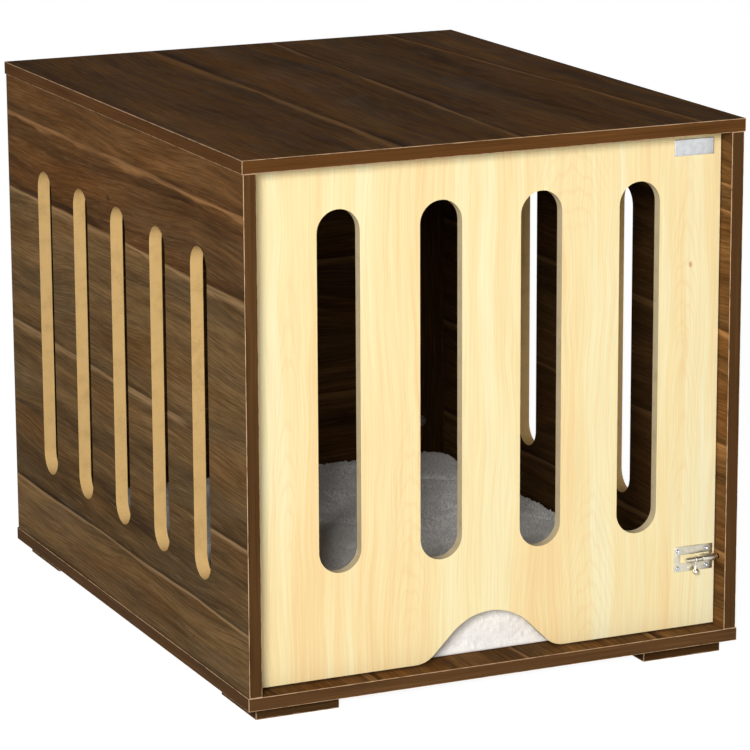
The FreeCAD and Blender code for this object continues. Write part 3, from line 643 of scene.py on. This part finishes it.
def metal(name, colour, roughness, brushed=(1.0, 1.0, 1.0), scale=900.0):
    """Plated or cast metal with fine brushing and faint tarnish."""
    material, w, shader = new_material(name)
    place = w.place()
    lines = w.noise(w.mapped(place, brushed), scale=scale)
    cloud = w.noise(place, scale=170.0)
    dark = tuple(0.88 * value for value in colour)
    colour = w.blend(w.ease(cloud, 0.40, 0.68), colour, dark)
    roughness = w.ease(lines, 0.3, 0.7, 0.8 * roughness, 1.3 * roughness)
    w.fill(shader, {"Base Color": colour, "Roughness": roughness, "Metallic": 1.0})
    w.emboss(shader, lines, 0.3, 0.02 * MM)
    return material


def dress_metal():
    """Metal finishes, and the pressed, turned and bevelled pieces that stand for their solids."""
    nickel = metal("satin_nickel", (0.68, 0.64, 0.52), 0.36, (1.0, 6.0, 12.0))
    polished = metal("polished_nickel", (0.76, 0.72, 0.62), 0.24, (1.0, 3.0, 3.0))
    zinc = metal("cast_zinc", (0.50, 0.51, 0.52), 0.42, scale=500.0)
    steel = metal("zinc_plated_steel", (0.62, 0.67, 0.76), 0.24)
    plate = metal("brushed_aluminium", (0.66, 0.67, 0.68), 0.30, (1.0, 1.0, 14.0))
    wear(nodes["bolt_plate"], nickel)
    for hinge in ("upper", "lower"):
        for part in ("frame_leaf", "door_leaf", "pin"):
            wear(nodes[f"{hinge}_hinge_{part}"], nickel)
    wear(nodes["bolt_rod"], polished)
    wear(nodes["bolt_knob"], polished)
    wear(nodes["cam_lock_nuts"], zinc)
    for name in ("cam_bolts", "foot_screws", "hinge_frame_screws", "hinge_door_screws",
                 "door_stop_screw", "bolt_screws"):
        wear(nodes[name], steel)
    wear(nodes["nameplate"], plate)
    make_bolt(nickel, steel)
    make_knob(polished)
    make_nameplate(plate)


plate_low, plate_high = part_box("bolt_plate")
rod_low, rod_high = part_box("bolt_rod")
knob_low, knob_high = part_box("bolt_knob")
rod_axis = Vector((0.0, (rod_low.y + rod_high.y) / 2, (rod_low.z + rod_high.z) / 2))
door_face = plate_high.y
sheet = 0.9 * MM                # thickness of the pressed bolt plate
sheet_rounding = 0.18 * MM
window_left = plate_low.x + 8.0 * MM
tunnel_left = plate_high.x - 16.3 * MM
slit_end = plate_high.x - 4.6 * MM
window_half = 5.1 * MM
tunnel_radius = 3.45 * MM       # middle of the sheet


def bolt_plate_form():
    """Pressed sheet: a window, two slits, and a tunnel raised between them that guides the rod."""
    columns = (plate_low.x, window_left, tunnel_left, slit_end, plate_high.x)
    rows = (plate_low.z, rod_axis.z - window_half, rod_axis.z - tunnel_radius,
            rod_axis.z + tunnel_radius, rod_axis.z + window_half, plate_high.z)
    shape = grid_form(columns, rows)
    level = door_face - sheet / 2
    for point in shape.verts:
        point.co = Vector((point.co.x, level, point.co.y))

    def cell(face):
        """Column and row of the grid that a face lies in."""
        middle = face.calc_center_median()
        return (sum(middle.x > place for place in columns) - 1,
                sum(middle.z > place for place in rows) - 1)

    def on_foot(point):
        """Whether a point lies where the tunnel rises from the sheet, on its lower side."""
        return abs(point.co.z - rows[2]) < 0.1 * MM and point.co.x > tunnel_left - MM

    # the window, the slits above and below the tunnel, and the sheet that the tunnel is raised from
    gone = {(1, 1), (1, 2), (1, 3), (2, 1), (2, 3), (2, 2), (3, 2)}
    bmesh.ops.delete(shape, geom=[face for face in shape.faces if cell(face) in gone], context="FACES")
    foot = [edge for edge in shape.edges if all(on_foot(point) for point in edge.verts)]
    # the lower slit has taken the sheet at the tunnel's left part, so its foot there is an edge of its own
    nearest = min((point for point in shape.verts if on_foot(point)), key=lambda point: point.co.x)
    start = shape.verts.new((tunnel_left, level, rows[2]))
    foot.append(shape.edges.new((start, nearest)))
    flank = bmesh.ops.extrude_edge_only(shape, edges=foot)["geom"]
    bmesh.ops.translate(shape, vec=(0, rod_axis.y - level, 0), verts=points_in(flank))
    turned = bmesh.ops.spin(shape, geom=points_in(flank) + edges_in(flank), cent=rod_axis, axis=(1, 0, 0),
                            angle=-math.pi, steps=12)
    down = bmesh.ops.extrude_edge_only(shape, edges=edges_in(turned["geom_last"]))["geom"]
    bmesh.ops.translate(shape, vec=(0, level - rod_axis.y, 0), verts=points_in(down))
    bmesh.ops.remove_doubles(shape, verts=shape.verts, dist=0.05 * MM)
    bmesh.ops.recalc_face_normals(shape, faces=shape.faces)
    piece = new_piece("pressed_bolt_plate", shape)
    wall = piece.modifiers.new("sheet", "SOLIDIFY")
    wall.thickness, wall.offset = sheet, 0.0
    rounding = piece.modifiers.new("eased edges", "BEVEL")
    rounding.limit_method = "ANGLE"
    rounding.angle_limit = math.radians(40)
    rounding.width, rounding.segments = sheet_rounding, 2
    piece.data.shade_smooth()
    return piece


def make_bolt(nickel, steel):
    """The bolt's pressed plate and its four screws."""
    plate = bolt_plate_form()
    wear(plate, nickel)
    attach(plate, "door")
    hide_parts("bolt_plate")
    screws = bolt_screw_heads()
    wear(screws, steel)
    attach(screws, "door")
    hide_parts("bolt_screws")


def turned_form(name, profile, axis, centre):
    """A turned piece. profile: (place along the axis, radius) pairs from one end to the other."""
    shape = bmesh.new()
    side = Vector((0, 0, 1)) if axis.x else Vector((0, -1, 0))
    points = [shape.verts.new(centre + axis * along + side * radius) for along, radius in profile]
    edges = [shape.edges.new(pair) for pair in zip(points, points[1:])]
    bmesh.ops.spin(shape, geom=points + edges, cent=centre, axis=axis, angle=2 * math.pi, steps=24,
                   use_merge=True)
    bmesh.ops.remove_doubles(shape, verts=shape.verts, dist=0.01 * MM)
    bmesh.ops.recalc_face_normals(shape, faces=shape.faces)
    return new_mesh(name, shape)


def rounded(half, radius, ease):
    """Profile of a rod that reaches half its length each way, with both ends rounded by ease."""
    turns = [QUARTER * step / 4 for step in range(5)]
    corner = [(half - ease * (1 - math.cos(turn)), radius - ease + ease * math.sin(turn)) for turn in turns]
    first = [(-place, out) for place, out in corner]
    return [(-half, 0.0)] + first + corner[::-1] + [(half, 0.0)]


collar_half = 1.85 * MM
collar_radius = 3.5 * MM
collar_ease = 1.2 * MM
ball_radius = 3.7 * MM
ball_flatness = 0.95            # the ball's height as a share of its width
# the stem's outline in millimetres, down to the ball: (place below the rod's axis, radius)
stem_outline = ((0, 0), (1, 1.7), (3.4, 1.75), (5, 1.45), (8, 1.35), (10.4, 1.55), (11.2, 2.1))


def make_knob(polished):
    """Knob: a collar round the rod, a waisted stem and a slightly flattened ball."""
    centre = Vector(((knob_low.x + knob_high.x) / 2, rod_axis.y, rod_axis.z))
    half_height = ball_radius * ball_flatness
    drop = rod_axis.z - knob_low.z - half_height
    ring = rounded(collar_half, collar_radius, collar_ease)
    collar = turned_form("collar", ring, Vector((1, 0, 0)), centre)
    outline = [(below * MM, radius * MM) for below, radius in stem_outline]
    crown = math.asin(outline[-1][1] / ball_radius)
    for step in range(11):
        angle = crown + (math.pi - crown) * step / 10
        outline.append((drop - math.cos(angle) * half_height, math.sin(angle) * ball_radius))
    hanging = turned_form("stem", outline, Vector((0, 0, -1)), centre)
    shape = bmesh.new()
    for mesh in (collar, hanging):
        take_in(shape, mesh)
    knob = new_piece("turned_knob", shape)
    knob.data.shade_smooth()
    wear(knob, polished)
    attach(knob, "bolt_knob")
    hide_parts("bolt_knob")


head_radius = 2.4 * MM
head_height = 1.2 * MM
recess_depth = 0.9 * MM
cross_lines = (-0.62, -0.16, 0.16, 0.62)    # the cross recess, as shares of the head's radius
# domed rim, underside and shank: (share of the radius, share of the height below the crown)
head_rings = ((0.80, 0.10), (0.97, 0.55), (1.0, 1.0), (0.5, 1.0), (0.5, 2.0))


def bolt_screw_heads():
    """Four pan heads with a cross recess."""
    low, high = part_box("bolt_screws")
    shape = bmesh.new()
    for x in (low.x + head_radius, high.x - head_radius):
        for z in (low.z + head_radius, high.z - head_radius):
            add_cross_head(shape, Vector((x, low.y, z)), turn=900 * x + 400 * z)
    bmesh.ops.recalc_face_normals(shape, faces=shape.faces)
    piece = new_piece("cross_head_screws", shape)
    piece.data.shade_smooth()
    return piece


def add_cross_head(shape, crown, turn):
    """One head: a cross-shaped hole, round it a domed rim, and a short shank behind. Its front is at -Y."""
    head = grid_form(cross_lines, cross_lines)
    for point in head.verts:
        point.co *= head_radius

    def middle(face):
        """How far a face's middle lies from the two lines of the cross, nearer one first."""
        return sorted(abs(value) / head_radius for value in face.calc_center_median().xy)

    corners = [face for face in head.faces if middle(face)[0] > 0.3]
    bmesh.ops.delete(head, geom=corners, context="FACES")
    rim = [edge for edge in head.edges if edge.is_boundary]
    for share, drop in head_rings:
        grown = bmesh.ops.extrude_edge_only(head, edges=rim)["geom"]
        for point in points_in(grown):
            flat = Vector((point.co.x, point.co.y, 0)).normalized() * share * head_radius
            point.co = Vector((flat.x, flat.y, -drop * head_height))
        rim = edges_in(grown)
    bmesh.ops.contextual_create(head, geom=rim)
    cross = [face for face in head.faces if middle(face)[1] < 0.5
             and all(abs(point.co.z) < 1e-9 for point in face.verts)]
    sunk = bmesh.ops.extrude_face_region(head, geom=cross)["geom"]
    bmesh.ops.translate(head, vec=(0, 0, -recess_depth), verts=points_in(sunk))
    bmesh.ops.delete(head, geom=cross, context="FACES")
    place = Matrix.Translation(crown) @ Matrix.Rotation(QUARTER, 4, "X") @ Matrix.Rotation(turn, 4, "Z")
    bmesh.ops.transform(head, matrix=place, verts=head.verts)
    take_in(shape, new_mesh("head", head))


plate_corner = 0.8 * MM
plate_bevel = 0.7 * MM
plate_frame = 0.9 * MM          # flat frame round the nameplate's field
field_slope = 0.45 * MM
field_depth = 0.35 * MM


def make_nameplate(metal_look):
    """Bare plate with rounded corners, a bright bevelled frame and a slightly sunk field."""
    shape = box_form(*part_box("nameplate"))
    corners = [edge for edge in shape.edges if abs(edge.verts[0].co.y - edge.verts[1].co.y) > 0.5 * MM]
    round_edges(shape, corners, plate_corner)
    front = min(shape.faces, key=lambda face: face.calc_center_median().y)
    round_edges(shape, list(front.edges), plate_bevel)
    front = min(shape.faces, key=lambda face: (face.calc_center_median().y, -face.calc_area()))
    bmesh.ops.inset_region(shape, faces=[front], thickness=plate_frame, depth=0.0)
    bmesh.ops.inset_region(shape, faces=[front], thickness=field_slope, depth=-field_depth)
    bmesh.ops.recalc_face_normals(shape, faces=shape.faces)
    plate = new_piece("bare_nameplate", shape)
    wear(plate, metal_look)
    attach(plate, "door")
    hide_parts("nameplate")


def raw_beech():
    """Bare dowel wood with fine flecks."""
    material, w, shader = new_material("raw_beech")
    fleck = w.noise(w.mapped(w.place(), (700.0, 700.0, 60.0)), detail=2.0)
    colour = w.ramp(fleck, [(0.35, (0.52, 0.34, 0.17)), (0.65, (0.66, 0.47, 0.26))])
    w.fill(shader, {"Base Color": colour, "Roughness": 0.7})
    return material


# ------------ cushion

def plush():
    """Short white pile: soft mottling, small tufts and a light sheen."""
    material, w, shader = new_material("white_plush")
    place = w.place()
    tufts = w.noise(w.mapped(place, (230.0, 150.0, 230.0)), detail=4.0, roughness=0.62, distortion=0.6)
    clumps = w.noise(w.mapped(place, (58.0, 40.0, 58.0)), roughness=0.6)
    shade = w.times_plus(tufts, 0.6, w.times(clumps, 0.4))
    colour = w.ramp(shade, [(0.32, (0.80, 0.77, 0.73)), (0.44, (0.92, 0.89, 0.85)),
                            (0.58, (0.95, 0.93, 0.89))])
    w.fill(shader, {"Base Color": colour, "Roughness": 0.95, "Specular IOR Level": 0.1,
                    "Sheen Weight": 0.35, "Sheen Roughness": 0.6})
    w.emboss(shader, shade, 0.5, 1.1 * MM)
    return material


cushion_inset = 1.0 * MM        # how much smaller the unfilled form is at its sides and back
cushion_front = 4.0 * MM        # how far its front reaches towards the door
cushion_rest = 0.4 * MM         # cushion's underside above the base board
cushion_corner = 34.0 * MM
cushion_top_edge = 7.0 * MM
cushion_foot_edge = 2.0 * MM
cushion_voxel = 8.0 * MM
cushion_cap = 6.0 * MM          # how far a point may swell
cushion_reach = cushion_low.y - 6 * MM      # nearest that the cushion's cloth comes to the door
pile_foot = cushion_low.z + 4 * MM          # no pile or lumps below this
tuft_length = 3.0 * MM
tuft_tip = 0.22                 # a tuft's width at its tip, as a share of its foot
brushed_length = 0.45           # the front wall's pile is brushed flat to this share


def cushion_form():
    """Unfilled cushion: a slab with rounded corners, fuller at its foot than at its top."""
    low = cushion_low + Vector((cushion_inset, -cushion_front, cushion_rest))
    high = cushion_high - Vector((cushion_inset, cushion_inset, 0))
    shape = box_form(low, high)
    upright = [edge for edge in shape.edges if abs(edge.verts[0].co.z - edge.verts[1].co.z) > MM]
    round_edges(shape, upright, cushion_corner, segments=6)
    for level, width in ((high.z, cushion_top_edge), (low.z, cushion_foot_edge)):
        rim = [edge for edge in shape.edges
               if all(abs(point.co.z - level) < 0.1 * MM for point in edge.verts)]
        round_edges(shape, rim, width)
    return new_piece("plush_cushion", shape)


def swell(pad):
    """Fills the form as stuffing does: cloth under pressure, held at its underside."""
    underside = [point.index for point in pad.data.vertices if point.co.z < cushion_low.z + 3 * MM]
    held = pad.vertex_groups.new(name="held")
    held.add(underside, 1.0, "REPLACE")
    start = [point.co.copy() for point in pad.data.vertices]
    cloth = pad.modifiers.new("filling", "CLOTH")
    cloth.settings.use_pressure = True
    cloth.settings.uniform_pressure_force = 4.0
    cloth.settings.effector_weights.gravity = 0.0
    cloth.settings.vertex_group_mass = "held"
    cloth.settings.quality = 5
    for step in range(1, 21):
        bpy.context.scene.frame_set(step)
    settled(pad)
    moved = []
    for point, was in zip(pad.data.vertices, start):
        way = point.co - was
        share = min(1.0, cushion_cap / max(way.length, 0.01 * MM))
        moved += list(was + way * share)
    pad.data.vertices.foreach_set("co", moved)
    pad.data.update()
    bpy.context.scene.frame_set(1)


def make_cushion():
    """Plush pad, swollen by cloth simulation from a slightly smaller closed form."""
    pad = cushion_form()
    remesh = pad.modifiers.new("even mesh", "REMESH")
    remesh.mode = "VOXEL"
    remesh.voxel_size = cushion_voxel
    settled(pad)
    swell(pad)
    smooth = pad.modifiers.new("finer", "SUBSURF")
    smooth.levels = smooth.render_levels = 1
    settled(pad)
    ruffle(pad)
    tuft(pad)
    pad.data.shade_smooth()
    wear(pad, plush())
    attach(pad, "carcass")
    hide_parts("cushion")


# soft folds in the cushion's top: ends (x, y), depth and half width, all in millimetres
cushion_folds = (((120, 216), (236, 110), 7.0, 6.0), ((-60, 60), (70, -40), 2.5, 9.0),
                 ((60, -150), (190, -60), 2.5, 8.0), ((-190, 250), (-90, 180), 3.0, 8.0),
                 ((-150, -220), (-30, -250), 2.5, 9.0), ((170, -10), (245, -70), 3.0, 8.0))


def fold_depth(place):
    """How far the folds draw a point of the cushion's top in."""
    depth = 0.0
    spot = place.xy
    for start, end, deep, half in cushion_folds:
        first, last = Vector(start) * MM, Vector(end) * MM
        run = last - first
        share = max(0.0, min(1.0, (spot - first).dot(run) / run.length_squared))
        away = (spot - first - run * share).length / (half * MM)
        depth += deep * MM * math.exp(-away * away) * math.sin(math.pi * min(1.0, max(0.04, share)))
    return depth


def ruffle(pad):
    """Soft hollows, folds and the unevenness of the pile, as small moves along the surface's normals."""
    starts = [(point.co.copy(), point.normal.copy()) for point in pad.data.vertices]
    ends = []
    for place, normal in starts:
        lumps = noise.noise(place * 11.0) * 2.4 + noise.noise(place * 27.0) * 1.0
        pile = noise.noise(place * 150.0) * 0.8
        lift = 1.0 if place.z > pile_foot else 0.0
        fold = fold_depth(place) if normal.z > 0.5 else 0.0
        moved = place + normal * ((lumps + pile) * MM * lift - fold)
        ends += [moved.x, max(moved.y, cushion_reach), max(moved.z, cushion_low.z + cushion_rest)]
    pad.data.vertices.foreach_set("co", ends)
    pad.data.update()


def flatten_underside(shape):
    """Joins the small faces of the cushion's flat underside, which has no pile."""
    under = {face for face in shape.faces if face.calc_center_median().z < cushion_low.z + MM}
    # both lists keep the mesh's own order, so that every run joins the same faces
    edges = [edge for edge in shape.edges if not under.isdisjoint(edge.link_faces)]
    points = [point for point in shape.verts if not under.isdisjoint(point.link_faces)]
    bmesh.ops.dissolve_limit(shape, angle_limit=math.radians(6), verts=points, edges=edges)


def tuft(pad):
    """Short pile: about half of the pad's faces are drawn out into small leaning cones."""
    shape = bmesh.new()
    shape.from_mesh(pad.data)
    flatten_underside(shape)
    chosen = []
    for face in shape.faces:
        middle = face.calc_center_median()
        if middle.z > pile_foot and noise.noise(middle * 900.0) > -0.02:
            chosen.append(face)
    for face in bmesh.ops.extrude_discrete_faces(shape, faces=chosen)["faces"]:
        face.normal_update()
        middle = face.calc_center_median()
        lean = Vector((noise.noise(middle * 60.0), noise.noise(middle * 60.0 + Vector((9, 4, 0))), 0.0))
        way = (face.normal + lean * 1.1).normalized()
        share = 0.6 + 1.1 * abs(noise.noise(middle * 24.0)) + 0.5 * noise.noise(middle * 700.0)
        length = tuft_length * share
        if face.normal.y < -0.7:
            length *= brushed_length
        for point in face.verts:
            point.co = middle + (point.co - middle) * tuft_tip + way * length
            point.co.y = max(point.co.y, cushion_reach - 2 * MM)
    shape.to_mesh(pad.data)
    shape.free()


# ------------ studio

ambient_level = 0.14
table_middle = Vector((0, 0, 0.3))
# lamps: name, azimuth and elevation in degrees, distance and size in metres, power in watts
lamps = (("key_lamp", (-34.0, 20.0), 7.0, 2.1, 402.0),
         ("fill_lamp", (6.0, 8.0), 6.0, 1.6, 28.0))


def make_studio():
    """Pale floor, surroundings that are white low down, a large soft lamp and a weak fill."""
    scene = bpy.context.scene
    scene.view_settings.view_transform = "Standard"
    world = bpy.data.worlds.new("studio")
    scene.world = world
    w = cleared(world)
    way = w.node("TexCoord", {}).outputs["Generated"]
    rise = w.split(way)[2]
    seen = w.ramp(w.ease(rise, 0.12, 0.19), [(0.0, (1.0, 1.0, 1.0)), (1.0, (0.10, 0.10, 0.10))])
    white = w.node("Background", {"Color": seen, "Strength": 1.0})
    soft = w.node("Background", {"Color": (1.0, 0.99, 0.97), "Strength": ambient_level})
    both = w.node("MixShader", {0: direct_ray(w), 1: soft.outputs[0], 2: white.outputs[0]})
    w.node("OutputWorld", {"Surface": both.outputs[0]})
    make_floor()
    for settings in lamps:
        lamp(*settings)


def direct_ray(w):
    """1 for rays that show the background itself: camera, glossy and transmission rays."""
    path = w.node("LightPath", {}).outputs
    shown = w.math("MAXIMUM", path["Is Camera Ray"], path["Is Glossy Ray"])
    return w.math("MAXIMUM", shown, path["Is Transmission Ray"])


def make_floor():
    """A wide pale floor that looks white to the camera and keeps the table's shadow."""
    shape = bmesh.new()
    bmesh.ops.create_circle(shape, cap_ends=True, segments=96, radius=40.0)
    floor = new_piece("floor", shape)
    material = bpy.data.materials.new("pale_floor")
    w = cleared(material)
    plain = w.node("BsdfDiffuse", {"Color": (0.80, 0.80, 0.79)})
    shaded = w.node("BsdfDiffuse", {"Color": (0.34, 0.34, 0.34)})
    glow = w.node("Emission", {"Color": (0.93, 0.93, 0.93), "Strength": 1.0})
    shown = w.node("AddShader", {0: shaded.outputs[0], 1: glow.outputs[0]})
    both = w.node("MixShader", {0: direct_ray(w), 1: plain.outputs[0], 2: shown.outputs[0]})
    w.node("OutputMaterial", {"Surface": both.outputs[0]})
    wear(floor, material)


def lamp(name, way, distance, size, power):
    """A square soft lamp that faces the middle of the table."""
    azimuth, elevation = (math.radians(angle) for angle in way)
    level = math.cos(elevation)
    back = Vector((math.sin(azimuth) * level, -math.cos(azimuth) * level, math.sin(elevation)))
    data = bpy.data.lights.new(name, "AREA")
    data.shape = "SQUARE"
    data.size = size
    data.energy = power
    made = in_scene(name, data)
    made.location = table_middle + back * distance
    made.rotation_mode = "QUATERNION"
    made.rotation_quaternion = (-back).to_track_quat("-Z", "Y")


camera_place = (-1.7929, -3.9777, 1.3317)
camera_azimuth = -24.515        # degrees; 0 looks along +Y
camera_elevation = 13.567
camera_roll = -0.266
camera_lens = 180.23            # millimetres, for a sensor 36 mm wide
sensor_width = 36.0


def make_camera():
    """A camera at the photograph's place, with its lens unshifted."""
    data = bpy.data.cameras.new("camera")
    data.sensor_width = sensor_width
    data.lens = camera_lens
    data.clip_start, data.clip_end = 0.1, 200.0
    camera = in_scene("camera", data)
    turn = (Matrix.Rotation(math.radians(camera_azimuth), 4, "Z")
            @ Matrix.Rotation(math.radians(90 - camera_elevation), 4, "X")
            @ Matrix.Rotation(math.radians(camera_roll), 4, "Z"))
    camera.matrix_world = Matrix.Translation(camera_place) @ turn
    bpy.context.scene.camera = camera


# ------------ making

make_camera()
make_studio()
dress_carcass()
wear(nodes["door"], maple_door())
wear(nodes["door_edge_bands"], maple_band())
dress_metal()
wear(nodes["dowels"], raw_beech())
make_cushion()
